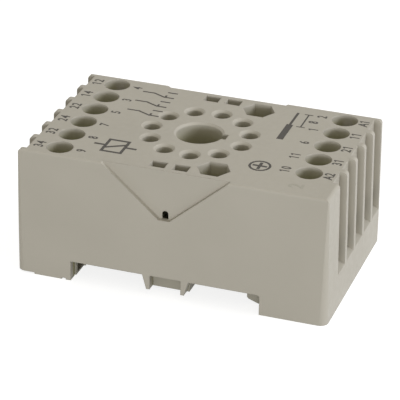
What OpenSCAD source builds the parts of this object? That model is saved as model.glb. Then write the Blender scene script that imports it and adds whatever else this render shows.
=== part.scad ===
// Eleven-pin relay socket with screw clamp terminals, for a 35 mm top-hat rail or a panel.
// Millimetres, +Z up. The origin is the middle of the footprint, on the plane that the feet stand on.
// +X points from the six-terminal end to the five-terminal end.

/* [Body] */
// Length at the foot
body_l = 61.3; // [58:0.1:70]
// Width at the foot
body_w = 37.5; // [37.3:0.1:44]
// Height
body_h = 25.8; // [25:0.1:30]
// Draft of the two ends, degrees
end_draft = 1.2; // [0.5:0.1:1.6]
// Draft of the two long sides, degrees
side_draft = 0.5; // [0.2:0.1:0.7]
// Radius of the upright corners
corner_r = 1.6; // [0.8:0.1:1.8]
// Radius of the top edge at the ends
end_top_r = 0.8; // [0.4:0.1:1]
// Radius of the top edge along the sides
side_top_r = 0.4; // [0.2:0.1:0.6]
// Thickness of the long side walls
side_wall = 2.05; // [1.8:0.05:2.1]

/* [Relay seat] */
// Circle through the pin holes
pin_circle_d = 19.05; // [18.6:0.05:19.6]
// Place of the pin circle along the body
pin_x = -0.75; // [-1.5:0.05:0]
// Pin hole in the top
pin_hole_d = 3.1; // [2.8:0.1:3.4]
// Flare at the mouth of a pin hole
pin_flare_d = 4.1; // [3.6:0.1:4.4]
// Depth of the flare
pin_flare_h = 0.5; // [0.2:0.1:0.8]
// Thickness of the top over the contact sleeves
deck_t = 4; // [3:0.1:5]
// Hole for the key of the relay
key_d = 8.8; // [8.2:0.1:9.4]
// Flare round the key hole
key_flare = 0.4; // [0.2:0.1:0.6]
// Floor under the key hole
key_floor_t = 1.05; // [0.8:0.05:2]
// Width of the keyway
keyway_w = 2.2; // [1.6:0.1:2.6]
// Reach of the keyway from the middle of the key hole
keyway_reach = 5.5; // [5:0.1:6]

/* [Terminals] */
// From a long side at the foot to the axis of the nearest terminal
edge_place = 3.68; // [3.6:0.01:3.75]
// From the six-terminal end at the top to the axes of its screws
left_inset = 7.06; // [6.8:0.02:7.3]
// From the five-terminal end at the top to the axes of its screws
right_inset = 6.6; // [6.5:0.02:7]
// Diameter of a screw well
well_d = 5.1; // [5:0.05:5.2]
// Width of a wire channel
channel_w = 4.72; // [4.4:0.02:4.8]
// Depth of a wire channel at the top edge
channel_depth = 1.4; // [1:0.05:1.6]
// Height of the channel floor
channel_floor = 7.8; // [7.4:0.1:8.2]
// Slope of a channel's floor, down to the outside
channel_slope = 24; // [0:1:30]
// Wall between a channel and its clamp chamber
channel_wall = 1.2; // [1:0.05:1.4]
// Width of a clamp chamber
chamber_w = 4.8; // [4.7:0.05:4.9]
// Width of a wire entry
entry_w = 3.8; // [3.2:0.1:4]
// Height of a wire entry
entry_h = 3.4; // [2.8:0.1:3.5]

/* [Retaining clip] */
// Place of the clip recess along the body
clip_x = -1.2; // [-2:0.1:0]
// From a long side at the top to the middle of its clip slots
slot_inset = 3.12; // [3:0.02:3.3]
// Clip slot, along the body
slot_l = 3; // [2.6:0.1:3.4]
// Clip slot, across the body
slot_w = 2.4; // [2:0.1:2.5]
// Web between two slots
slot_web = 1.4; // [1.2:0.1:1.8]
// Half width of the V recess at the top
vee_half = 12.4; // [10:0.1:14]
// Flat at the bottom of the V recess
vee_flat = 2.2; // [2:0.1:3]
// Height of the V recess, from its bottom to the top edge
vee_h = 9.8; // [8.8:0.1:10.8]
// Depth of the V recess at the top edge
vee_depth = 0.9; // [0.6:0.05:1]
// Width of the clip window
window_w = 1.2; // [1:0.1:1.3]
// Height of the clip window
window_h = 1.6; // [1.4:0.05:1.8]
// Depth of the clip window behind the V
window_depth = 5; // [3:0.5:5.5]
// Thickness of the lip that the clip hooks behind
window_lip = 0.5; // [0.4:0.1:1]
// Drop behind that lip
window_drop = 2.4; // [1.5:0.1:3]
// Thickness between the clip window and the slots above it
window_roof = 0.9; // [0.7:0.1:1.2]

/* [Panel screws] */
// Place of the panel screws along the body
nut_x = 6.7; // [6.4:0.1:7]
// From a long side at the top to the axis of its panel screw
nut_inset = 4.88; // [4.8:0.02:5]
// Width of a nut pocket across its flats
nut_flats = 5.6; // [5.5:0.1:5.8]
// Depth of a nut pocket
nut_depth = 4; // [2.4:0.1:6]
// Diameter of the screw hole
panel_hole_d = 3.3; // [3.2:0.1:3.5]
// Outer diameter of the pillar round the screw hole
pillar_d = 6.4; // [6:0.1:6.6]

/* [Rail seat] */
// Middle of the rail seat along the body
rail_x = -1; // [-1.3:0.05:-0.7]
// Room for the rail between the feet
rail_gap = 37.35; // [36:0.05:37.6]
// Height of the rail seat over the feet
rail_h = 4.05; // [3.8:0.05:4.3]
// Thickness of the rail's edge
rail_t = 1; // [0.8:0.1:1.1]
// Height that the feet's low pads stand proud
pad_h = 0.3; // [0.2:0.05:0.4]
// Half width of the middle boss at the rail seat
boss_half = 4.55; // [4.2:0.05:5]
// Taper of the boss on each side
boss_taper = 0.8; // [0.4:0.1:1]
// Width of the foot of an end rib
rib_w = 0.7; // [0.5:0.05:1]
// Height of the foot of an end rib
rib_z = 1.15; // [0.9:0.05:1.5]
// Height of the lowest face of the boss
boss_z = 0.95; // [0.7:0.05:1.1]
// Reach of the fixed hook under the rail
hook_reach = 3.5; // [3.2:0.05:4]
// Width of one hook tooth
hook_w = 7; // [5:0.1:9]
// Half width of the foot block that carries the hooks
hook_block_half = 15; // [14:0.1:15.5]
// Half width of the foot block that guides the latch
latch_block_half = 12.6; // [12:0.1:13]
// Step of the latch foot's inner face at the housing and again at that block
foot_step = 0.3; // [0.1:0.05:0.35]
// Depth of the slots beside that block
foot_slot_depth = 2; // [1.4:0.1:2.6]
// Width of those slots
foot_slot_w = 3.2; // [1.6:0.1:3.3]

/* [Rail latch] */
// Width of the latch
latch_w = 9.6; // [8:0.1:11]
// Thickness of the latch
latch_t = 1.75; // [1.5:0.05:1.8]
// Reach of the latch under the rail
latch_reach = 2; // [1.6:0.05:2]
// Width of the slot that the spring lies in
spring_slot_w = 2.4; // [2.2:0.1:2.8]
// Length of the fixed post that the spring bears on
post_l = 1; // [0.8:0.1:1.2]
// Outer diameter of the spring
spring_d = 1.6; // [1.4:0.05:1.65]
// Diameter of the spring wire
wire_d = 0.28; // [0.22:0.02:0.32]
// Length of the spring
spring_l = 4.5; // [4.2:0.1:4.8]

/* [Contacts] */
// Bore of a contact sleeve
sleeve_bore_d = 2.5; // [2.42:0.02:2.6]
// Wall of a contact sleeve
sleeve_t = 0.5; // [0.4:0.05:0.6]
// Distance between a contact sleeve and the top over it
sleeve_gap = 1; // [0.4:0.1:2]
// Slit of a contact sleeve
slit_w = 0.7; // [0.5:0.1:1]
// Width of a contact strip
strip_w = 2.4; // [2:0.1:2.6]
// Thickness of a contact strip
strip_t = 0.8; // [0.6:0.05:0.9]
// Thickness of the terminal tab
tab_t = 1; // [0.8:0.05:1.1]
// Width of the terminal tab
tab_w = 2.8; // [2.6:0.05:2.9]

/* [Clamps] */
// Length of a clamp along the body
clamp_l = 5.4; // [5:0.1:5.6]
// Width of a clamp
clamp_w = 4.5; // [4.4:0.05:4.5]
// Width of the opening through a clamp
clamp_open_w = 3.1; // [3.05:0.05:3.2]
// Thickness of the clamp's lower bar
clamp_bar_t = 1; // [0.8:0.1:1.1]
// Thickness of the clamp's threaded top
clamp_top_t = 1.5; // [1.3:0.1:1.6]
// Travel of a clamp
clamp_travel = 3.2; // [2.8:0.1:3.3]

/* [Screws] */
// Nominal thread of a terminal screw
thread_d = 3; // [2.9:0.05:3.1]
// Radial clearance of the thread in its clamp
thread_play = 0.05; // [0.03:0.01:0.08]
// Diameter of a screw head
head_d = 4.6; // [4.4:0.05:4.7]
// Height of a screw head
head_h = 1.8; // [1.5:0.1:2]
// Width of the cross slot
cross_w = 0.7; // [0.6:0.05:0.8]
// Length of the cross slot
cross_l = 3.2; // [2.8:0.1:3.6]
// Depth of the cross slot
cross_h = 1; // [0.7:0.1:1.1]

/* [Hidden] */
$fn = 48;
over = 1;                       // extra length of a cutter past the face that it opens
seat_gap = 0.1;                 // clearance of a piece that is fitted into another
rest_gap = 0.05;                // clearance under a piece that rests on another
pin_count = 11;
left_rows = [0 : 5];
right_rows = [1 : 5];
plastic = [0.68, 0.65, 0.58];
brass = [0.83, 0.68, 0.38];
steel = [0.76, 0.77, 0.78];

// Drafted outer walls
function end_face(z) = body_l / 2 - z * tan(end_draft);
function side_face(z) = body_w / 2 - z * tan(side_draft);

// Clip recess and slots
vee_z = body_h - vee_h;
vee_y = side_face(body_h) - vee_depth;
slot_y = side_face(body_h) - slot_inset;
slot_floor = vee_z + window_h + window_roof;
slot_dx = (slot_web + slot_l) / 2;

// Panel screws
nut_y = side_face(body_h) - nut_inset;

// Terminals: their places, the channel's back wall, the chamber's outer wall and its inner wall
pitch = (body_w - 2 * edge_place) / 5;
left_x = left_inset - end_face(body_h);
right_x = end_face(body_h) - right_inset;
channel_back = end_face(body_h) - channel_depth;
channel_run = body_l / 2 + over - channel_back;
chamber_end = channel_back - channel_wall;
chamber_inner = 4.4;            // from the screw's axis towards the middle of the body

// Levels inside, from the base up
plate_t = 1.95;
plate_top = rail_h + plate_t;
low_strip_z = plate_top + 0.4;
cavity_top = plate_top + 3.95;
high_strip_z = cavity_top - rest_gap - strip_t;
entry_z = channel_floor + 0.9;
clamp_z = entry_z - clamp_bar_t;
tab_z = entry_z + clamp_travel + 0.4;
tab_top = tab_z + tab_t;
clamp_top_z = tab_top + 1.8;
clamp_h = clamp_top_z + clamp_top_t - clamp_z;
head_z = clamp_z + clamp_h + clamp_travel + 0.2;
chamber_top = head_z;
chamber_bottom = clamp_z - seat_gap;
sleeve_pocket_d = sleeve_bore_d + 2 * sleeve_t + 0.9;
pad_d = sleeve_pocket_d + 0.2;
sleeve_top = body_h - deck_t - sleeve_gap;
key_z = cavity_top + key_floor_t;
riser_x = 3.6;                  // from the screw's axis towards the middle of the body

// Rail seat
foot_left_x = rail_x - rail_gap / 2;
foot_right_x = rail_x + rail_gap / 2;
hook_top = rail_h - rail_t - 0.15;
block_z = 0.15;                 // the inner foot blocks stay clear of the ground
base_half_w = body_w / 2 - side_wall - seat_gap;
foot_slot_z = block_z + 0.4;     // a thin floor closes the slots of the latch foot
base_end = chamber_end - seat_gap;

// Latch, measured from its nose back to its pull tab
latch_top = hook_top;
latch_z = latch_top - latch_t;
latch_nose_x = foot_left_x + latch_reach;
latch_tail_x = -body_l / 2 + 0.35;
post_x = -base_end + 1.1;
spring_x = post_x + post_l;
spring_slot_end = spring_x + spring_l;

// Where each strip goes, whether it runs on the low level, and how it gets there
// [end of the body, row, low level, elbow, length of the straight run to the terminal]
ROUTES = [
    [1, 4, false, [], 2.4],
    [1, 5, false, [[nut_x + 4.3, nut_y - 4.45]], 3.9],
    [-1, 4, true, [], -left_x - riser_x],
    [-1, 5, false, [], 8.4],
    [-1, 3, false, [], 5.4],
    [1, 3, true, [], 7.9],
    [-1, 2, false, [], 5.4],
    [-1, 1, false, [], 10.4],
    [-1, 0, false, [], 14.4],
    [1, 1, false, [], 7.9],
    [1, 2, false, [], 5.9]
];

function pin_angle(i) = (i - 0.5) * 360 / pin_count;
function pin_pos(i) = [
    pin_x + pin_circle_d / 2 * cos(pin_angle(i)),
    pin_circle_d / 2 * sin(pin_angle(i))
];
function row_y(k) = (k - 2.5) * pitch;
function route(i) = ROUTES[i - 1];
function terminal_x(i) = route(i)[0] > 0 ? right_x : left_x;
function terminal_y(i) = row_y(route(i)[1]);
function strip_z(i) = route(i)[2] ? low_strip_z : high_strip_z;
function riser_pos(i) = [terminal_x(i) - route(i)[0] * riser_x, terminal_y(i)];
function strip_path(i) = concat(
    [pin_pos(i)],
    route(i)[3],
    [riser_pos(i) - [route(i)[0] * route(i)[4], 0], riser_pos(i)]
);

// A profile in X and Z, run along Y between two limits
module run_y(y0, y1) {
    translate([0, y1, 0])
        rotate([90, 0, 0])
            linear_extrude(height = y1 - y0)
                children();
}

// A profile in Y and Z, run along X between two limits
module run_x(x0, x1) {
    translate([x0, 0, 0])
        rotate([90, 0, 90])
            linear_extrude(height = x1 - x0)
                children();
}

// A box from its two opposite corners
module block(low, high) {
    translate(low)
        cube(high - low);
}

// A rectangle with round corners, centred
module round_rect(w, h, r) {
    square([w - 2 * r, h], center = true);
    square([w, h - 2 * r], center = true);
    for (sx = [-1, 1], sy = [-1, 1])
        translate([sx * (w / 2 - r), sy * (h / 2 - r)])
            circle(r);
}

// What a round top edge takes off one side of a drafted profile
module top_edge_waste(half_foot, draft, r) {
    cz = body_h - r;
    cx = half_foot - cz * tan(draft) - r / cos(draft);
    difference() {
        translate([cx, cz])
            polygon([
                [0, 0],
                [r * cos(draft), r * sin(draft)],
                [2 * r, r * sin(draft)],
                [2 * r, 2 * r],
                [0, 2 * r]
            ]);
        translate([cx, cz])
            circle(r);
    }
}

// Upright profile of a drafted wall pair with round top edges
module drafted_profile(half_foot, draft, r) {
    half_top = half_foot - body_h * tan(draft);
    difference() {
        polygon([[-half_foot, 0], [half_foot, 0], [half_top, body_h], [-half_top, body_h]]);
        for (side = [0, 1])
            mirror([side, 0])
                top_edge_waste(half_foot, draft, r);
    }
}

module outer_form() {
    intersection() {
        run_y(-body_w, body_w)
            drafted_profile(body_l / 2, end_draft, end_top_r);
        run_x(-body_l, body_l)
            drafted_profile(body_w / 2, side_draft, side_top_r);
        linear_extrude(height = body_h)
            round_rect(body_l, body_w, corner_r);
    }
}

// Front view of the room for the rail, with the two end ribs left standing
module rail_profile() {
    fillet_r = 0.5;
    difference() {
        translate([foot_left_x, -over])
            square([rail_gap, rail_h + over]);
        for (side = [0, 1])
            translate([pin_x, 0])
                mirror([side, 0])
                    polygon([
                        [boss_half, rail_h + over],
                        [boss_half, rail_h],
                        [boss_half - boss_taper, rib_z],
                        [boss_half - boss_taper - rib_w, rib_z],
                        [boss_half - boss_taper - rib_w, rail_h + over]
                    ]);
        translate([foot_right_x - fillet_r, rail_h - fillet_r])
            difference() {
                square(fillet_r + over);
                circle(fillet_r);
            }
    }
}

// Shallow V on a long side, open at the top edge
module vee_profile() {
    polygon([
        [clip_x - vee_flat / 2, vee_z],
        [clip_x + vee_flat / 2, vee_z],
        [clip_x + vee_half, body_h],
        [clip_x + vee_half, body_h + over],
        [clip_x - vee_half, body_h + over],
        [clip_x - vee_half, body_h]
    ]);
}

// Window with a round top
module window_profile() {
    r = window_w / 2;
    translate([clip_x - r, vee_z])
        square([window_w, window_h - r]);
    translate([clip_x, vee_z + window_h - r])
        circle(r);
}

// Everything that one long side loses to the retaining clip
module clip_cuts() {
    run_y(vee_y, body_w)
        vee_profile();
    run_y(vee_y - window_depth, vee_y + over / 4)
        window_profile();
    block(
        [clip_x - window_w / 2, vee_y - window_depth, vee_z - window_drop],
        [clip_x + window_w / 2, vee_y - window_lip, vee_z + window_h / 2]
    );
    for (side = [-1, 1])
        translate([clip_x + side * slot_dx, slot_y, (body_h + over + slot_floor) / 2])
            cube([slot_l, slot_w, body_h + over - slot_floor], center = true);
}

module pin_hole_cut(i) {
    translate(pin_pos(i)) {
        cylinder(d = pin_hole_d, h = body_h + over);
        translate([0, 0, body_h - pin_flare_h])
            cylinder(d1 = pin_hole_d, d2 = pin_flare_d, h = pin_flare_h);
        cylinder(d = sleeve_pocket_d, h = body_h - deck_t);
    }
}

module key_hole_cut() {
    translate([pin_x, 0, 0]) {
        translate([0, 0, key_z])
            cylinder(d = key_d, h = body_h);
        translate([0, 0, body_h - key_flare])
            cylinder(d1 = key_d, d2 = key_d + 2 * key_flare, h = key_flare);
        translate([0, -keyway_w / 2, key_z])
            cube([keyway_reach, keyway_w, body_h]);
    }
}

module nut_pocket_cut(y) {
    translate([nut_x, y, 0]) {
        cylinder(d = panel_hole_d, h = body_h + over);
        translate([0, 0, body_h - nut_depth])
            cylinder(d = nut_flats / cos(30), h = nut_depth + over, $fn = 6);
    }
}

// Well, chamber, wire entry and channel of one terminal, on the +X side of its row
module terminal_cut(x, y) {
    translate([x, y, chamber_top - rest_gap])
        cylinder(d = well_d, h = body_h);
    block(
        [x - chamber_inner, y - chamber_w / 2, chamber_bottom],
        [chamber_end, y + chamber_w / 2, chamber_top]
    );
    block(
        [chamber_end - over / 2, y - entry_w / 2, entry_z],
        [channel_back + over / 2, y + entry_w / 2, entry_z + entry_h]
    );
    run_y(y - channel_w / 2, y + channel_w / 2)
        polygon([
            [channel_back, channel_floor],
            [channel_back + channel_run, channel_floor - channel_run * tan(channel_slope)],
            [channel_back + channel_run, body_h + over],
            [channel_back, body_h + over]
        ]);
}

// The low pads of the latch foot are what its bottom edge leaves standing
module foot_relief() {
    pad_from = foot_left_x - 7.4;
    pad_to = foot_left_x - 1.8;
    nub_from = foot_left_x - 1;
    block([-body_l, -body_w, -over], [pad_from, body_w, pad_h]);
    block([pad_to, -body_w, -over], [nub_from, body_w, pad_h]);
}

module housing() {
    color(plastic)
        difference() {
            union() {
                difference() {
                    outer_form();
                    run_y(-body_w, body_w)
                        rail_profile();
                    block(
                        [-chamber_end, side_wall - body_w / 2, -over],
                        [chamber_end, body_w / 2 - side_wall, cavity_top]
                    );
                }
                for (side = [-1, 1])
                    translate([nut_x, side * nut_y, rail_h])
                        cylinder(d = pillar_d, h = cavity_top - rail_h + over);
            }
            for (i = [1 : pin_count])
                pin_hole_cut(i);
            key_hole_cut();
            for (side = [-1, 1])
                nut_pocket_cut(side * nut_y);
            for (side = [0, 1])
                mirror([0, side, 0])
                    clip_cuts();
            for (k = right_rows)
                terminal_cut(right_x, row_y(k));
            mirror([1, 0, 0])
                for (k = left_rows)
                    terminal_cut(-left_x, row_y(k));
            foot_relief();
            block(
                [-body_l, -latch_w / 2 - 3 * seat_gap, -over],
                [-chamber_end + over / 2, latch_w / 2 + 3 * seat_gap, latch_top + 2 * seat_gap]
            );
        }
}

// Side view of one tooth of the fixed hook
module hook_profile() {
    tip = foot_right_x - hook_reach;
    polygon([
        [foot_right_x + over, hook_top],
        [tip, hook_top],
        [tip, 1.2],
        [tip + 0.3, 0.85],
        [tip + 2.2, block_z],
        [foot_right_x + over, block_z]
    ]);
}

module base() {
    color(plastic * 0.97) {
        difference() {
            union() {
                block([-base_end, -base_half_w, rail_h], [base_end, base_half_w, plate_top]);
                block(
                    [-base_end, -base_half_w, block_z],
                    [foot_left_x + foot_step, base_half_w, rail_h + over]
                );
                block(
                    [-base_end, -latch_block_half, block_z],
                    [foot_left_x + 2 * foot_step, latch_block_half, rail_h + over]
                );
                block(
                    [foot_right_x, -hook_block_half, block_z],
                    [base_end, hook_block_half, rail_h + over]
                );
                for (side = [-1, 1])
                    run_y(
                        side * (hook_block_half - hook_w / 2) - hook_w / 2,
                        side * (hook_block_half - hook_w / 2) + hook_w / 2
                    )
                        hook_profile();
                run_y(-base_half_w, base_half_w)
                    translate([pin_x, 0])
                        polygon([
                            [-boss_half + 0.1, rail_h + over],
                            [-boss_half + 0.1, rail_h],
                            [-boss_half + 0.4, boss_z],
                            [boss_half - 0.4, boss_z],
                            [boss_half - 0.1, rail_h],
                            [boss_half - 0.1, rail_h + over]
                        ]);
                for (i = [1 : pin_count])
                    clamp_seat(i);
            }
            for (side = [-1, 1])
                translate([nut_x, side * nut_y, rail_h - over])
                    cylinder(d = pillar_d + 2 * seat_gap, h = plate_t + 2 * over);
            block(
                [-base_end - over, -latch_w / 2 - seat_gap, latch_z - rest_gap],
                [foot_left_x + over, latch_w / 2 + seat_gap, latch_top + rest_gap]
            );
            for (side = [0, 1])
                mirror([0, side, 0])
                    block(
                        [foot_left_x - foot_slot_depth, latch_block_half, foot_slot_z],
                        [foot_left_x + over, latch_block_half + foot_slot_w, rail_h]
                    );
        }
        block(
            [post_x, -spring_slot_w / 2 + seat_gap, latch_z - seat_gap],
            [post_x + post_l, spring_slot_w / 2 - seat_gap, latch_top + seat_gap]
        );
    }
}

// Low block on the base that an open clamp rests on
module clamp_seat(i) {
    half_l = clamp_l / 2 - 0.2;
    half_w = 1.5;
    block(
        [terminal_x(i) - half_l, terminal_y(i) - half_w, plate_top - over / 2],
        [terminal_x(i) + half_l, terminal_y(i) + half_w, clamp_z - rest_gap]
    );
}

// Side view of the latch: sloped lead-in under the nose
module latch_profile() {
    polygon([
        [latch_tail_x, latch_z],
        [foot_left_x + 0.3, latch_z],
        [latch_nose_x, latch_top - 0.6],
        [latch_nose_x, latch_top],
        [latch_tail_x, latch_top]
    ]);
}

module rail_latch() {
    tool_slot_l = 1.4;
    tool_slot_w = 4.4;
    color(plastic * 0.92)
        difference() {
            run_y(-latch_w / 2, latch_w / 2)
                latch_profile();
            block(
                [post_x - seat_gap, -spring_slot_w / 2, latch_z - over],
                [spring_slot_end, spring_slot_w / 2, latch_top + over]
            );
            block(
                [latch_tail_x + 0.6, -tool_slot_w / 2, latch_z - over],
                [latch_tail_x + 0.6 + tool_slot_l, tool_slot_w / 2, latch_top + over]
            );
        }
}

// Points of a round wire wound along X
spring_turns = 6;
spring_steps = 12;
wire_sides = 6;
function coil_point(s) =
    let (
        a = 360 * spring_turns * s,
        r = (spring_d - wire_d) / 2,
        span = spring_l - wire_d - 2 * rest_gap
    )
    [spring_x + rest_gap + wire_d / 2 + span * s, r * cos(a), r * sin(a)];
function wire_ring(s) =
    let (a = 360 * spring_turns * s, p = coil_point(s))
    [
        for (k = [0 : wire_sides - 1])
            let (b = 360 * k / wire_sides, out = wire_d / 2 * cos(b))
            p + [wire_d / 2 * sin(b), out * cos(a), out * sin(a)]
    ];

module latch_spring() {
    rings = spring_turns * spring_steps;
    points = [for (j = [0 : rings]) each wire_ring(j / rings)];
    sides = [
        for (j = [0 : rings - 1], k = [0 : wire_sides - 1])
            let (next = (k + 1) % wire_sides, a = j * wire_sides, b = a + wire_sides)
            [a + k, a + next, b + next, b + k]
    ];
    first = [for (k = [wire_sides - 1 : -1 : 0]) k];
    last = [for (k = [0 : wire_sides - 1]) rings * wire_sides + k];
    color(steel)
        translate([0, 0, (latch_z + latch_top) / 2])
            polyhedron(points = points, faces = concat([first], sides, [last]));
}

// Flat strip that follows a path, with round corners
module strip_outline(path) {
    for (j = [0 : len(path) - 2]) {
        step = path[j + 1] - path[j];
        translate(path[j])
            rotate(atan2(step[1], step[0]))
                translate([0, -strip_w / 2])
                    square([norm(step), strip_w]);
        translate(path[j])
            circle(d = strip_w);
    }
}

module contact(i) {
    z = strip_z(i);
    toward = route(i)[0];
    x = terminal_x(i);
    y = terminal_y(i);
    sleeve_d = sleeve_bore_d + 2 * sleeve_t;
    riser_mid = x - toward * riser_x;
    tab_end = toward * (chamber_end - seat_gap);
    color(brass)
        difference() {
            union() {
                translate([0, 0, z])
                    linear_extrude(height = strip_t) {
                        strip_outline(strip_path(i));
                        translate(pin_pos(i))
                            circle(d = pad_d);
                    }
                translate([pin_pos(i)[0], pin_pos(i)[1], z])
                    cylinder(d = sleeve_d, h = sleeve_top - z);
                block(
                    [riser_mid - strip_t / 2, y - tab_w / 2, z],
                    [riser_mid + strip_t / 2, y + tab_w / 2, tab_top]
                );
                block(
                    [min(riser_mid, tab_end), y - tab_w / 2, tab_z],
                    [max(riser_mid, tab_end), y + tab_w / 2, tab_top]
                );
            }
            translate([pin_pos(i)[0], pin_pos(i)[1], z - over])
                cylinder(d = sleeve_bore_d, h = body_h);
            translate([pin_pos(i)[0], pin_pos(i)[1], z + strip_t])
                rotate(pin_angle(i))
                    translate([0, -slit_w / 2, 0])
                        cube([sleeve_d, slit_w, body_h]);
        }
}

// Bent cage that the screw draws up under the tab
module clamp(i) {
    bend_r = 0.6;
    color(steel)
        translate([terminal_x(i), terminal_y(i), 0])
            difference() {
                run_x(-clamp_l / 2, clamp_l / 2)
                    translate([0, clamp_z + clamp_h / 2])
                        round_rect(clamp_w, clamp_h, bend_r);
                block(
                    [-clamp_l, -clamp_open_w / 2, entry_z],
                    [clamp_l, clamp_open_w / 2, clamp_top_z]
                );
                translate([0, 0, clamp_top_z - over])
                    cylinder(d = thread_d, h = clamp_top_t + 2 * over);
            }
}

module screw(i) {
    shank_r = thread_d / 2 - thread_play;
    tip_h = 0.4;
    edge = 0.25;
    color(steel)
        translate([terminal_x(i), terminal_y(i), 0])
            difference() {
                union() {
                    translate([0, 0, tab_top])
                        cylinder(r1 = shank_r - tip_h, r2 = shank_r, h = tip_h);
                    translate([0, 0, tab_top + tip_h])
                        cylinder(r = shank_r, h = head_z - tab_top - tip_h);
                    translate([0, 0, head_z])
                        cylinder(d = head_d, h = head_h - edge);
                    translate([0, 0, head_z + head_h - edge])
                        cylinder(d1 = head_d, d2 = head_d - 2 * edge, h = edge);
                }
                for (turn = [0, 90])
                    translate([0, 0, head_z + head_h - cross_h / 2 + over / 2])
                        rotate(turn)
                            cube([cross_l, cross_w, cross_h + over], center = true);
            }
}

housing();
base();
rail_latch();
latch_spring();
for (i = [1 : pin_count])
    contact(i);
for (i = [1 : pin_count])
    clamp(i);
for (i = [1 : pin_count])
    screw(i);
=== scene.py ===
from math import cos, hypot, pi, radians, sin

import bmesh
import bpy
from mathutils import Matrix, Vector


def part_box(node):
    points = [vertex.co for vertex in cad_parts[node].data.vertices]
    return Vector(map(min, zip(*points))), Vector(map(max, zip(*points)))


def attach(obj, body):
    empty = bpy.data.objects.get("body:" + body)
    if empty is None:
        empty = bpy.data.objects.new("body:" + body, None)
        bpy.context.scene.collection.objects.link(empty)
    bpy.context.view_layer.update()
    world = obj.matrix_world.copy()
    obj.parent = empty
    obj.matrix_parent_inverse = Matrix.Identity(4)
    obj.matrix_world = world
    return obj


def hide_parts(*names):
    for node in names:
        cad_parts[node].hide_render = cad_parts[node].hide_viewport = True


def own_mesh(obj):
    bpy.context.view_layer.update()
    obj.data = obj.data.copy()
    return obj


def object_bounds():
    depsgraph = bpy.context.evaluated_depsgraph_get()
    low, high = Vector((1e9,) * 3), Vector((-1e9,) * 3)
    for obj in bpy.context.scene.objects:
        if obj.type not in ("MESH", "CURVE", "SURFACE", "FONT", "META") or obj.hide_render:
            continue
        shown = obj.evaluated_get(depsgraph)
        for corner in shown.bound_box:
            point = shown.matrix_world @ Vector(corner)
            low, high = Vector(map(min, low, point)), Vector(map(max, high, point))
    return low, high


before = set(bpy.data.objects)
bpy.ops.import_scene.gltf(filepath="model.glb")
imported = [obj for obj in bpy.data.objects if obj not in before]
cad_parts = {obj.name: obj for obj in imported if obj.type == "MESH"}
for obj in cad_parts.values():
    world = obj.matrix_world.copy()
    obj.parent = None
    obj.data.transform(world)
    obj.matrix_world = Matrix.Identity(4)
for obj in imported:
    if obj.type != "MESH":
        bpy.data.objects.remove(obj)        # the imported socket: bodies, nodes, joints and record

cadLow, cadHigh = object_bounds()
mm = 0.001
terminals = range(1, 12)
print("frame loaded:", len(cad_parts), "nodes")


# camera and studio

cameraSettings = {
    "place": (0.124786, -0.375385, 0.213700),
    "right": (0.945877, 0.324124, 0.016165),
    "up": (-0.161073, 0.425644, 0.890439),
    "lens": 208.77,
    "sensor": 36.0,
}


def placeCamera(s):
    data = bpy.data.cameras.new("photoCamera")
    data.lens = s["lens"]
    data.sensor_width = s["sensor"]
    data.clip_start = 0.01
    data.clip_end = 20
    cam = bpy.data.objects.new("photoCamera", data)
    right, up = Vector(s["right"]).normalized(), Vector(s["up"]).normalized()
    back = right.cross(up)
    turn = Matrix((right, up, back)).transposed().to_4x4()
    cam.matrix_world = Matrix.Translation(s["place"]) @ turn
    bpy.context.scene.collection.objects.link(cam)
    bpy.context.scene.camera = cam


studioSettings = {
    "world": 0.59,                     # level all round
    "worldColor": (1.025, 1.0, 0.955),
    "lamps": [
        # name, place, width, height, watts, colour
        ("frontLow", (0.21, -0.88, 0.10), 0.34, 0.16, 3.4, (0.955, 0.99, 1.10)),
        ("rightSide", (0.85, 0.14, 0.36), 0.40, 0.30, 4.8, (0.945, 0.99, 1.14)),
    ],
    "aim": (0.0, 0.0, 0.012),
    "floorColor": (0.38, 0.38, 0.37),
    "floorGlow": 0.82,                 # only the camera sees it, so that the floor reads white
    "floorSize": 6.0,
}


def linkTree(owner):
    owner.use_nodes = True
    tree = owner.node_tree
    tree.nodes.clear()
    return tree


def addNode(tree, kind, **inputs):
    node = tree.nodes.new(kind)
    for name, value in inputs.items():
        if name in node.inputs:
            node.inputs[name].default_value = value
        else:
            setattr(node, name, value)
    return node


def join(tree, a, out, b, into):
    tree.links.new(a.outputs[out], b.inputs[into])


def setWorld(s):
    world = bpy.data.worlds.new("studio")
    bpy.context.scene.world = world
    tree = linkTree(world)
    path = addNode(tree, "ShaderNodeLightPath")
    seen = addNode(tree, "ShaderNodeMath", operation="MAXIMUM")
    seenThrough = addNode(tree, "ShaderNodeMath", operation="MAXIMUM")
    join(tree, path, "Is Camera Ray", seen, 0)
    join(tree, path, "Is Glossy Ray", seen, 1)
    join(tree, seen, 0, seenThrough, 0)
    join(tree, path, "Is Transmission Ray", seenThrough, 1)
    ambient = addNode(tree, "ShaderNodeBackground")
    ambient.inputs["Color"].default_value = (*s["worldColor"], 1)
    ambient.inputs["Strength"].default_value = s["world"]
    shown = addNode(tree, "ShaderNodeBackground")
    shown.inputs["Color"].default_value = (1, 1, 1, 1)
    shown.inputs["Strength"].default_value = 1.0
    mix = addNode(tree, "ShaderNodeMixShader")
    out = addNode(tree, "ShaderNodeOutputWorld")
    join(tree, seenThrough, 0, mix, 0)
    join(tree, ambient, 0, mix, 1)
    join(tree, shown, 0, mix, 2)
    join(tree, mix, 0, out, 0)


def addLamps(s):
    for name, place, width, height, watts, color in s["lamps"]:
        data = bpy.data.lights.new(name, "AREA")
        data.shape = "RECTANGLE"
        data.size, data.size_y = width, height
        data.energy = watts
        data.color = color
        lamp = bpy.data.objects.new(name, data)
        lamp.location = place
        aim = Vector(s["aim"]) - Vector(place)
        lamp.rotation_euler = aim.to_track_quat("-Z", "Y").to_euler()
        bpy.context.scene.collection.objects.link(lamp)


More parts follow.
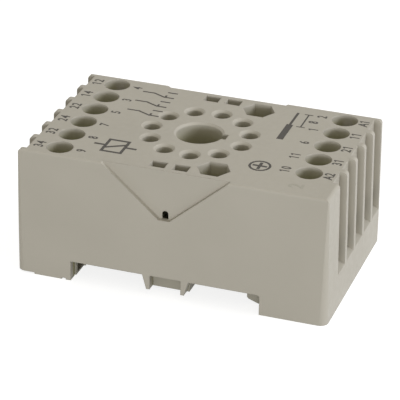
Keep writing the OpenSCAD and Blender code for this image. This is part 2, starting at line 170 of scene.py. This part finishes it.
def addFloor(s):
    half = s["floorSize"] / 2
    mesh = bpy.data.meshes.new("floor")
    corners = [(-half, -half, 0), (half, -half, 0), (half, half, 0), (-half, half, 0)]
    mesh.from_pydata(corners, [], [(0, 1, 2, 3)])
    floor = bpy.data.objects.new("floor", mesh)
    bpy.context.scene.collection.objects.link(floor)
    material = bpy.data.materials.new("paleFloor")
    tree = linkTree(material)
    path = addNode(tree, "ShaderNodeLightPath")
    diffuse = addNode(tree, "ShaderNodeBsdfDiffuse")
    diffuse.inputs["Color"].default_value = (*s["floorColor"], 1)
    glow = addNode(tree, "ShaderNodeEmission")
    glow.inputs["Color"].default_value = (1, 1, 1, 1)
    glow.inputs["Strength"].default_value = s["floorGlow"]
    both = addNode(tree, "ShaderNodeAddShader")
    join(tree, diffuse, 0, both, 0)
    join(tree, glow, 0, both, 1)
    seen = addNode(tree, "ShaderNodeMath", operation="MAXIMUM")
    join(tree, path, "Is Camera Ray", seen, 0)
    join(tree, path, "Is Glossy Ray", seen, 1)
    mix = addNode(tree, "ShaderNodeMixShader")
    out = addNode(tree, "ShaderNodeOutputMaterial")
    join(tree, seen, 0, mix, 0)
    join(tree, diffuse, 0, mix, 1)
    join(tree, both, 0, mix, 2)
    join(tree, mix, 0, out, 0)
    mesh.materials.append(material)


placeCamera(cameraSettings)
setWorld(studioSettings)
addLamps(studioSettings)
addFloor(studioSettings)
bpy.context.scene.view_settings.view_transform = "Standard"
print("camera and studio set")


# finishes


def finish(name):
    material = bpy.data.materials.new(name)
    tree = linkTree(material)
    shader = addNode(tree, "ShaderNodeBsdfPrincipled")
    out = addNode(tree, "ShaderNodeOutputMaterial")
    join(tree, shader, 0, out, 0)
    return material, tree, shader


def noise(tree, coords, scale, detail=3.0, roughness=0.55, stretch=None):
    node = addNode(tree, "ShaderNodeTexNoise")
    node.inputs["Scale"].default_value = scale
    node.inputs["Detail"].default_value = detail
    node.inputs["Roughness"].default_value = roughness
    if stretch:
        mapping = addNode(tree, "ShaderNodeMapping")
        mapping.inputs["Scale"].default_value = stretch
        join(tree, coords, "Object", mapping, "Vector")
        join(tree, mapping, 0, node, "Vector")
    else:
        join(tree, coords, "Object", node, "Vector")
    return node


# noise spreads from about 0.35 to 0.65, which the plain ramp turns into low to high
def ramp(tree, source, low, high, fromLow=0.35, fromHigh=0.65, out=0):
    node = addNode(tree, "ShaderNodeMapRange")
    node.inputs["From Min"].default_value = fromLow
    node.inputs["From Max"].default_value = fromHigh
    node.inputs["To Min"].default_value = low
    node.inputs["To Max"].default_value = high
    join(tree, source, out, node, "Value")
    return node


def mixColor(tree, factor, a, b):
    node = addNode(tree, "ShaderNodeMix", data_type="RGBA")
    sockets = [x for x in node.inputs if x.type == "RGBA"]
    sockets[0].default_value = (*a, 1)
    sockets[1].default_value = (*b, 1)
    join(tree, factor, 0, node, 0)
    return node


def colorOut(node):
    return [x for x in node.outputs if x.type == "RGBA"][0]


def product(tree, a, b):
    node = addNode(tree, "ShaderNodeMath", operation="MULTIPLY")
    join(tree, a, 0, node, 0)
    join(tree, b, 0, node, 1)
    return node


def fromMiddle(tree, parts, axis):
    away = addNode(tree, "ShaderNodeMath", operation="ABSOLUTE")
    join(tree, parts, axis, away, 0)
    return away


def paintedRecessShadeMask(tree, parts, s):
    # painted shade in the hollows: one down the screw wells, less in the middle holes, none at the top face
    # and the outer walls
    alongX, acrossY = fromMiddle(tree, parts, "X"), fromMiddle(tree, parts, "Y")
    mask = ramp(tree, parts, 0.0, 1.0, cadHigh.z - s["recessFrom"], cadHigh.z - s["recessTo"], "Z")
    for away, reach in ((alongX, s["recessX"]), (acrossY, s["recessY"])):
        mask = product(tree, mask, ramp(tree, away, 1.0, 0.0, reach - s["recessEdge"], reach))
    return product(tree, mask, ramp(tree, alongX, s["middleShare"], 1.0, s["middleTo"], s["wellsFrom"]))


def paintedPocketShadeMask(tree, coords, parts, s):
    # painted shade, one in the clip windows of both long sides
    flat = addNode(tree, "ShaderNodeVectorMath", operation="MULTIPLY")
    flat.inputs[1].default_value = (1, 0, 1)
    join(tree, coords, "Object", flat, 0)
    reach = addNode(tree, "ShaderNodeVectorMath", operation="DISTANCE")
    reach.inputs[1].default_value = (s["pocketX"], 0, s["pocketZ"])
    join(tree, flat, 0, reach, 0)
    near = ramp(tree, reach, 1.0, 0.0, s["pocketRadius"], s["pocketRadius"] + s["recessEdge"], "Value")
    away = fromMiddle(tree, parts, "Y")
    return product(tree, near, ramp(tree, away, 1.0, 0.0, s["recessY"] - s["recessEdge"], s["recessY"]))


def tinted(tree, source, mask, tint):
    shade = mixColor(tree, mask, (1, 1, 1), tint)
    node = addNode(tree, "ShaderNodeVectorMath", operation="MULTIPLY")
    tree.links.new(source, node.inputs[0])
    tree.links.new(colorOut(shade), node.inputs[1])
    return node.outputs[0]


def mouldedPlastic(name, s):
    material, tree, shader = finish(name)
    coords = addNode(tree, "ShaderNodeTexCoord")
    cloud = noise(tree, coords, s["cloudScale"], detail=2.0)
    tint = mixColor(tree, ramp(tree, cloud, 0.0, 1.0), s["color"], s["colorDeep"])
    parts = addNode(tree, "ShaderNodeSeparateXYZ")
    join(tree, coords, "Object", parts, 0)
    # painted shade: darker and warmer down the wells and holes
    color = tinted(tree, colorOut(tint), paintedRecessShadeMask(tree, parts, s), s["recessShadeTint"])
    # painted shade, near black in the clip windows
    color = tinted(tree, color, paintedPocketShadeMask(tree, coords, parts, s), s["pocketShadeTint"])
    tree.links.new(color, shader.inputs["Base Color"])
    patch = noise(tree, coords, s["patchScale"], detail=4.0)
    rough = ramp(tree, patch, s["roughLow"], s["roughHigh"])
    join(tree, rough, 0, shader, "Roughness")
    shader.inputs["Specular IOR Level"].default_value = s["specular"]
    rounding = addNode(tree, "ShaderNodeBevel", samples=6)
    rounding.inputs["Radius"].default_value = s["edgeRadius"]
    grain = noise(tree, coords, s["grainScale"], detail=2.0, roughness=0.7)
    fineBump = addNode(tree, "ShaderNodeBump")
    fineBump.inputs["Strength"].default_value = s["grainStrength"]
    fineBump.inputs["Distance"].default_value = s["grainDepth"]
    join(tree, grain, 0, fineBump, "Height")
    join(tree, rounding, 0, fineBump, "Normal")
    sink = noise(tree, coords, s["sinkScale"], detail=1.0)
    broadBump = addNode(tree, "ShaderNodeBump")
    broadBump.inputs["Strength"].default_value = s["sinkStrength"]
    broadBump.inputs["Distance"].default_value = s["sinkDepth"]
    join(tree, sink, 0, broadBump, "Height")
    join(tree, fineBump, 0, broadBump, "Normal")
    join(tree, broadBump, 0, shader, "Normal")
    return material


def bareMetal(name, s):
    material, tree, shader = finish(name)
    coords = addNode(tree, "ShaderNodeTexCoord")
    film = noise(tree, coords, s["filmScale"])
    tint = mixColor(tree, ramp(tree, film, 0.0, 1.0), s["color"], s["colorDull"])
    tree.links.new(colorOut(tint), shader.inputs["Base Color"])
    shader.inputs["Metallic"].default_value = 1.0
    marks = noise(tree, coords, s["markScale"], detail=4.0, roughness=0.6, stretch=s["markStretch"])
    rough = ramp(tree, marks, s["roughLow"], s["roughHigh"])
    join(tree, rough, 0, shader, "Roughness")
    rounding = addNode(tree, "ShaderNodeBevel", samples=4)
    rounding.inputs["Radius"].default_value = s["edgeRadius"]
    bump = addNode(tree, "ShaderNodeBump")
    bump.inputs["Strength"].default_value = s["markStrength"]
    bump.inputs["Distance"].default_value = s["markDepth"]
    join(tree, marks, 0, bump, "Height")
    join(tree, rounding, 0, bump, "Normal")
    join(tree, bump, 0, shader, "Normal")
    return material


plasticSettings = {
    "color": (0.430, 0.399, 0.322),
    "colorDeep": (0.412, 0.382, 0.307),
    "cloudScale": 60.0,
    "patchScale": 900.0,
    "roughLow": 0.46,
    "roughHigh": 0.58,
    "specular": 0.42,
    "edgeRadius": 0.22 * mm,
    "grainScale": 5200.0,
    "grainStrength": 0.22,
    "grainDepth": 0.02 * mm,
    "sinkScale": 90.0,
    "sinkStrength": 0.25,
    "sinkDepth": 0.12 * mm,
    "recessShadeTint": (0.70, 0.71, 0.40),  # painted shade: warmer and darker down the holes
    "recessFrom": 0.2 * mm,            # depths at which it starts and is full
    "recessTo": 3.2 * mm,
    "recessX": 28.7 * mm,              # it ends inside the outer walls
    "recessY": 17.6 * mm,
    "recessEdge": 0.3 * mm,
    "middleShare": 0.6,                # how much of it the holes between the two rows of wells take
    "middleTo": 13.0 * mm,
    "wellsFrom": 19.5 * mm,
    "pocketShadeTint": (0.16, 0.16, 0.13),  # painted shade, near black in the clip windows
    "pocketX": -1.2 * mm,              # their middle along the block, and its height
    "pocketZ": 16.8 * mm,
    "pocketRadius": 1.2 * mm,
}
housingPlastic = mouldedPlastic("lightGreyPlastic", plasticSettings)
# a lighter painted shade in the hollows of the base and the latch
underSettings = {**plasticSettings, "recessShadeTint": (0.76, 0.76, 0.71)}
basePlastic = mouldedPlastic(
    "basePlastic", {**underSettings, "color": (0.412, 0.382, 0.303), "colorDeep": (0.395, 0.366, 0.290)}
)
latchPlastic = mouldedPlastic(
    "latchPlastic", {**underSettings, "color": (0.402, 0.372, 0.295), "colorDeep": (0.385, 0.356, 0.282)}
)
contactBrass = bareMetal("stampedBrass", {
    "color": (0.78, 0.57, 0.27),
    "colorDull": (0.62, 0.43, 0.20),
    "filmScale": 300.0,
    "markScale": 1600.0,
    "markStretch": (1.0, 6.0, 1.0),
    "roughLow": 0.24,
    "roughHigh": 0.42,
    "markStrength": 0.25,
    "markDepth": 0.01 * mm,
    "edgeRadius": 0.08 * mm,
})
zincSteel = bareMetal("zincPlatedSteel", {
    "color": (0.72, 0.73, 0.74),
    "colorDull": (0.55, 0.57, 0.58),
    "filmScale": 420.0,
    "markScale": 2200.0,
    "markStretch": (1.0, 1.0, 4.0),
    "roughLow": 0.22,
    "roughHigh": 0.40,
    "markStrength": 0.20,
    "markDepth": 0.008 * mm,
    "edgeRadius": 0.08 * mm,
})
springWire = bareMetal("springWire", {
    "color": (0.62, 0.62, 0.63),
    "colorDull": (0.45, 0.45, 0.46),
    "filmScale": 800.0,
    "markScale": 3000.0,
    "markStretch": (1.0, 5.0, 5.0),
    "roughLow": 0.18,
    "roughHigh": 0.30,
    "markStrength": 0.10,
    "markDepth": 0.004 * mm,
    "edgeRadius": 0.02 * mm,
})


def wear(node, material):
    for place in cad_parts[node].material_slots:
        place.material = material


wear("housing", housingPlastic)
wear("base", basePlastic)
wear("rail_latch", latchPlastic)
wear("latch_spring", springWire)
for i in terminals:
    wear(f"contact_{i}", contactBrass)
    wear(f"clamp_{i}", zincSteel)
    wear(f"screw_{i}", zincSteel)
print("finishes made")


# grown pieces: a wire or a ridge wound round an axis

def coilTree():
    tree = bpy.data.node_groups.new("coil", "GeometryNodeTree")
    wanted = [
        ("Turns", "Float"), ("Radius", "Float"), ("Length", "Float"), ("Wire", "Float"),
        ("Sides", "Int"), ("Steps", "Int"), ("Finish", "Material"),
    ]
    for name, kind in wanted:
        tree.interface.new_socket(name=name, in_out="INPUT", socket_type="NodeSocket" + kind)
    tree.interface.new_socket(name="Geometry", in_out="OUTPUT", socket_type="NodeSocketGeometry")
    given = tree.nodes.new("NodeGroupInput")
    path = tree.nodes.new("GeometryNodeCurveSpiral")
    upright = tree.nodes.new("GeometryNodeSetCurveNormal")
    upright.mode = "Z_UP"
    section = tree.nodes.new("GeometryNodeCurvePrimitiveCircle")
    sweep = tree.nodes.new("GeometryNodeCurveToMesh")
    sweep.inputs["Fill Caps"].default_value = True
    real = tree.nodes.new("GeometryNodeRealizeInstances")
    dress = tree.nodes.new("GeometryNodeSetMaterial")
    out = tree.nodes.new("NodeGroupOutput")
    join(tree, given, "Steps", path, "Resolution")
    join(tree, given, "Turns", path, "Rotations")
    join(tree, given, "Radius", path, "Start Radius")
    join(tree, given, "Radius", path, "End Radius")
    join(tree, given, "Length", path, "Height")
    join(tree, given, "Sides", section, "Resolution")
    join(tree, given, "Wire", section, "Radius")
    join(tree, path, 0, upright, 0)
    join(tree, upright, 0, sweep, "Curve")
    join(tree, section, 0, sweep, "Profile Curve")
    join(tree, sweep, 0, real, 0)
    join(tree, real, 0, dress, 0)
    join(tree, given, "Finish", dress, "Material")
    join(tree, dress, 0, out, 0)
    return tree


def grow(tree, values):
    holder = bpy.data.objects.new("grown", bpy.data.meshes.new("grown"))
    bpy.context.scene.collection.objects.link(holder)
    modifier = holder.modifiers.new("grow", "NODES")
    modifier.node_group = tree
    for item in tree.interface.items_tree:
        if item.in_out == "INPUT":
            modifier[item.identifier] = values[item.name]
    bpy.context.view_layer.update()
    mesh = bpy.data.meshes.new_from_object(holder.evaluated_get(bpy.context.evaluated_depsgraph_get()))
    holder.modifiers.clear()
    bpy.data.objects.remove(holder)
    return mesh


sharpAngle = radians(32)  # an edge that turns by more than this stays sharp


def makePiece(name, source, material, body):
    # outward faces, sharp edges kept, one material, riding on its body
    bmesh.ops.recalc_face_normals(source, faces=source.faces)
    mesh = bpy.data.meshes.new(name)
    source.to_mesh(mesh)
    source.free()
    mesh.materials.clear()
    mesh.materials.append(material)
    mesh.shade_smooth()
    mesh.set_sharp_from_angle(angle=sharpAngle)
    piece = bpy.data.objects.new(name, mesh)
    bpy.context.scene.collection.objects.link(piece)
    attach(piece, body)
    return piece


windings = coilTree()
springSettings = {
    "turns": 6.0,
    "wire": 0.14 * mm,                 # radius of the wire
    "endGap": 1.1,                     # from each end of the solid to the wire's axis, in wire radii
    "sides": 12,                       # of the wire's section
    "steps": 28,                       # points in one turn
    "rest": 0.5,                       # share of the length that is left with the latch drawn back
}


def windSpring(s):
    low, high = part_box("latch_spring")
    mesh = grow(windings, {
        "Turns": s["turns"],
        "Radius": (high.z - low.z) / 2 - s["wire"],
        "Length": high.x - low.x - 2 * s["endGap"] * s["wire"],
        "Wire": s["wire"],
        "Sides": s["sides"],
        "Steps": s["steps"],
        "Finish": springWire,
    })
    place = Vector((low.x + s["endGap"] * s["wire"], (low.y + high.y) / 2, (low.z + high.z) / 2))
    mesh.transform(Matrix.Translation(place) @ Matrix.Rotation(pi / 2, 4, "Y"))
    source = bmesh.new()
    source.from_mesh(mesh)
    piece = makePiece("latchCoil", source, springWire, "socket")
    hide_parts("latch_spring")
    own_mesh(piece)


threadSettings = {
    "pitch": 0.5 * mm,
    "root": 1.2 * mm,
    "crest": 1.45 * mm,
    "headHeight": 1.8 * mm,
    "runOut": 0.35 * mm,               # left plain at both ends of the shank
    "ridge": 0.96,                     # half width of the ridge, as a share of the thread's depth
    "sides": 4,
    "steps": 26,
    "weld": 0.002 * mm,                # points nearer than this become one
    "slack": 0.02 * mm,                # the shank's own points lie this near to its nominal size
}


def threadScrews(s):
    depth = s["crest"] - s["root"]
    low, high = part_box("screw_1")
    length = high.z - low.z - s["headHeight"] - 2 * s["runOut"]
    ridge = grow(windings, {
        "Turns": length / s["pitch"],
        "Radius": s["root"],
        "Length": length,
        "Wire": depth * s["ridge"],
        "Sides": s["sides"],
        "Steps": s["steps"],
        "Finish": zincSteel,
    })
    for i in terminals:
        low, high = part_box(f"screw_{i}")
        x, y = (low.x + high.x) / 2, (low.y + high.y) / 2
        source = bmesh.new()
        source.from_mesh(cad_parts[f"screw_{i}"].data)
        bmesh.ops.remove_doubles(source, verts=source.verts, dist=s["weld"])
        for point in source.verts:
            out = hypot(point.co.x - x, point.co.y - y)
            onShank = point.co.z < high.z - s["headHeight"] + s["slack"]
            if onShank and s["root"] < out < s["crest"] + s["slack"]:
                point.co.x = x + (point.co.x - x) * s["root"] / out
                point.co.y = y + (point.co.y - y) * s["root"] / out
        wound = ridge.copy()
        wound.transform(Matrix.Translation((x, y, low.z + s["runOut"])))
        source.from_mesh(wound)
        piece = makePiece(f"threadedScrew{i}", source, zincSteel, f"screw_{i}")
        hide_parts(f"screw_{i}")


windSpring(springSettings)
threadScrews(threadSettings)
print("spring wound and screws threaded")


# printed numbers and symbols

printSettings = {
    "ink": (0.022, 0.017, 0.010),
    "height": 0.012 * mm,              # thickness of the ink
    "size": 2.6 * mm,                  # height of a numeral, before the font's own margins
    "bold": 0.026,                     # share of the size that each edge grows by
    "pitch": 0.60,                     # from one numeral to the next, as a share of the size
    "flag": (0.15, 0.10, 0.11),        # run, drop and thickness of a one's flag, as shares of the size
    "outerGap": 3.9 * mm,              # from the screw's axis out to the middle of the numerals
    "innerGap": 4.4 * mm,
    "outerWidth": 0.86,                # numerals are narrowed to this share
    "innerWidth": 0.78,
    "lengthMark": ("8", 18.2 * mm, 12.1 * mm),  # the number beside the stripped length, and its place
    "speckScale": 2400.0,
    "speckLift": 2.2,                  # the ink's paler specks against its own colour
    "roughLow": 0.42,
    "roughHigh": 0.60,
    "layers": 8,                       # strokes that cross lie one over the other
    "layer": 0.0008 * mm,              # from one of them to the next
}


def inkFinish(s):
    material, tree, shader = finish("padPrintInk")
    coords = addNode(tree, "ShaderNodeTexCoord")
    speck = noise(tree, coords, s["speckScale"])
    pale = tuple(s["speckLift"] * c for c in s["ink"])
    tint = mixColor(tree, ramp(tree, speck, 0.0, 1.0), s["ink"], pale)
    tree.links.new(colorOut(tint), shader.inputs["Base Color"])
    rough = ramp(tree, speck, s["roughLow"], s["roughHigh"])
    join(tree, rough, 0, shader, "Roughness")
    return material


printInk = inkFinish(printSettings)


def numeralMesh(character, s):
    curve = bpy.data.curves.new("numerals", "FONT")
    curve.body = character
    curve.size = s["size"]
    curve.align_x = "CENTER"
    curve.align_y = "CENTER"
    curve.offset = s["bold"] * s["size"]
    curve.extrude = s["height"] / 2
    curve.resolution_u = 4
    holder = bpy.data.objects.new("numerals", curve)
    bpy.context.scene.collection.objects.link(holder)
    bpy.context.view_layer.update()
    mesh = bpy.data.meshes.new_from_object(holder.evaluated_get(bpy.context.evaluated_depsgraph_get()))
    bpy.data.objects.remove(holder)
    return mesh


def addPrism(source, corners, low, high):
    layers = [[source.verts.new((x, y, z)) for x, y in corners] for z in (low, high)]
    under, over = layers
    source.faces.new(under[::-1])
    source.faces.new(over)
    for k in range(len(corners)):
        after = (k + 1) % len(corners)
        source.faces.new((under[k], under[after], over[after], over[k]))


def addFlag(source, mesh, s):
    # the short slanted stroke at the head of a one
    left = min(v.co.x for v in mesh.vertices)
    top = max(v.co.y for v in mesh.vertices)
    run, drop, thick = (share * s["size"] for share in s["flag"])
    corners = [
        (left + thick, top), (left, top), (left - run, top - drop),
        (left - run, top - drop - thick), (left + thick, top - thick),
    ]
    addPrism(source, corners, -s["height"] / 2, s["height"] / 2 + s["layer"])


def addNumerals(source, words, x, y, s, narrow):
    place = Matrix.Translation((x, y, cadHigh.z)) @ Matrix.Rotation(pi / 2, 4, "Z")
    drawn = bmesh.new()
    for k, character in enumerate(words):
        mesh = numeralMesh(character, s)
        mesh.transform(Matrix.Translation(((k - (len(words) - 1) / 2) * s["pitch"] * s["size"], 0, 0)))
        drawn.from_mesh(mesh)
        if character == "1":
            addFlag(drawn, mesh, s)
        bpy.data.meshes.remove(mesh)
    drawn.transform(place @ Matrix.Diagonal((narrow, 1, 1, 1)))
    whole = bpy.data.meshes.new("numerals")
    drawn.to_mesh(whole)
    drawn.free()
    source.from_mesh(whole)
    bpy.data.meshes.remove(whole)


# terminal number: outer mark and inner mark for each screw
terminalMarks = {
    1: ("11", "1"), 2: ("A1", "2"), 3: ("14", "3"), 4: ("12", "4"), 5: ("22", "5"), 6: ("21", "6"),
    7: ("24", "7"), 8: ("32", "8"), 9: ("34", "9"), 10: ("A2", "10"), 11: ("31", "11"),
}


def printTerminalNumbers(s):
    source = bmesh.new()
    for i in terminals:
        low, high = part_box(f"screw_{i}")
        x, y = (low.x + high.x) / 2, (low.y + high.y) / 2
        side = 1 if x > 0 else -1
        outer, inner = terminalMarks[i]
        addNumerals(source, outer, x + side * s["outerGap"], y, s, s["outerWidth"])
        addNumerals(source, inner, x - side * s["innerGap"], y, s, s["innerWidth"])
    makePiece("terminalNumbers", source, printInk, "socket")


def addStroke(source, start, end, width, lift, s):
    # a flat bar of ink between two points on the top face, in millimetres
    a, b = Vector(start) * mm, Vector(end) * mm
    along = (b - a).normalized() * width / 2
    across = Vector((-along.y, along.x))
    corners = [a - along - across, b + along - across, b + along + across, a - along + across]
    addPrism(source, corners, cadHigh.z - s["height"] / 2, cadHigh.z + s["height"] / 2 + lift)


def ringLines(x, y, radius, width, count=20):
    turns = [2 * pi * k / count for k in range(count)]
    points = [(x + radius * cos(a), y + radius * sin(a)) for a in turns]
    return [(points[k], points[(k + 1) % count], width) for k in range(count)]


def changeOverLines(y, width=0.42):
    return [
        ((-17.0, y), (-14.8, y), width), ((-14.8, y), (-12.4, y - 1.15), width),
        ((-12.2, y - 1.15), (-10.6, y - 1.15), width), ((-12.2, y + 1.15), (-10.6, y + 1.15), width),
        ((-12.2, y - 1.15), (-12.2, y - 0.45), width),
    ]


# lines of the symbols: start, end and width, in millimetres on the top face
symbolLines = {
    "changeOvers": changeOverLines(5.2) + changeOverLines(9.6) + changeOverLines(14.0),
    "coil": [
        ((-15.4, -13.6), (-15.4, -8.6), 0.6), ((-11.6, -13.6), (-11.6, -8.6), 0.6),
        ((-15.4, -13.6), (-11.6, -13.6), 0.6), ((-15.4, -8.6), (-11.6, -8.6), 0.6),
        ((-15.4, -12.2), (-11.6, -10.0), 0.6), ((-17.4, -11.1), (-15.6, -11.1), 0.6),
        ((-11.4, -11.1), (-9.6, -11.1), 0.6),
    ],
    "stripLength": [
        ((14.2, 3.4), (14.2, 9.0), 1.3), ((14.2, 9.0), (14.2, 15.0), 0.5),
        ((16.4, 9.2), (16.4, 15.0), 0.3), ((15.7, 9.2), (17.1, 9.2), 0.3),
        ((15.7, 15.0), (17.1, 15.0), 0.3),
    ],
    "crossHead": ringLines(14.2, -9.4, 1.9, 0.45) + [
        ((13.1, -9.4), (15.3, -9.4), 0.6), ((14.2, -10.5), (14.2, -8.3), 0.6),
    ],
}


def printSymbols(s):
    source = bmesh.new()
    for lines in symbolLines.values():
        for k, (start, end, width) in enumerate(lines):
            addStroke(source, start, end, width * mm, (k % s["layers"]) * s["layer"], s)
    addNumerals(source, *s["lengthMark"], s, s["innerWidth"])
    makePiece("topSymbols", source, printInk, "socket")


cavitySettings = {
    **printSettings,
    "bold": 0.028,
    "height": 0.03 * mm,
    "size": 3.9 * mm,
    "mark": ("2", 23.0 * mm, -14.9 * mm),
    "width": 0.9,
}
# a darker copy of the housing plastic: painted shade that makes the raised numeral show
cavityShadedPlastic = mouldedPlastic(
    "cavityShadedPlastic", {**plasticSettings, "color": (0.380, 0.356, 0.280), "colorDeep": (0.366, 0.340, 0.268)}
)


def mouldCavityNumber(s):
    source = bmesh.new()
    addNumerals(source, *s["mark"], s, s["width"])
    makePiece("cavityNumber", source, cavityShadedPlastic, "socket")


printTerminalNumbers(printSettings)
printSymbols(printSettings)
mouldCavityNumber(cavitySettings)
print("numbers and symbols printed")
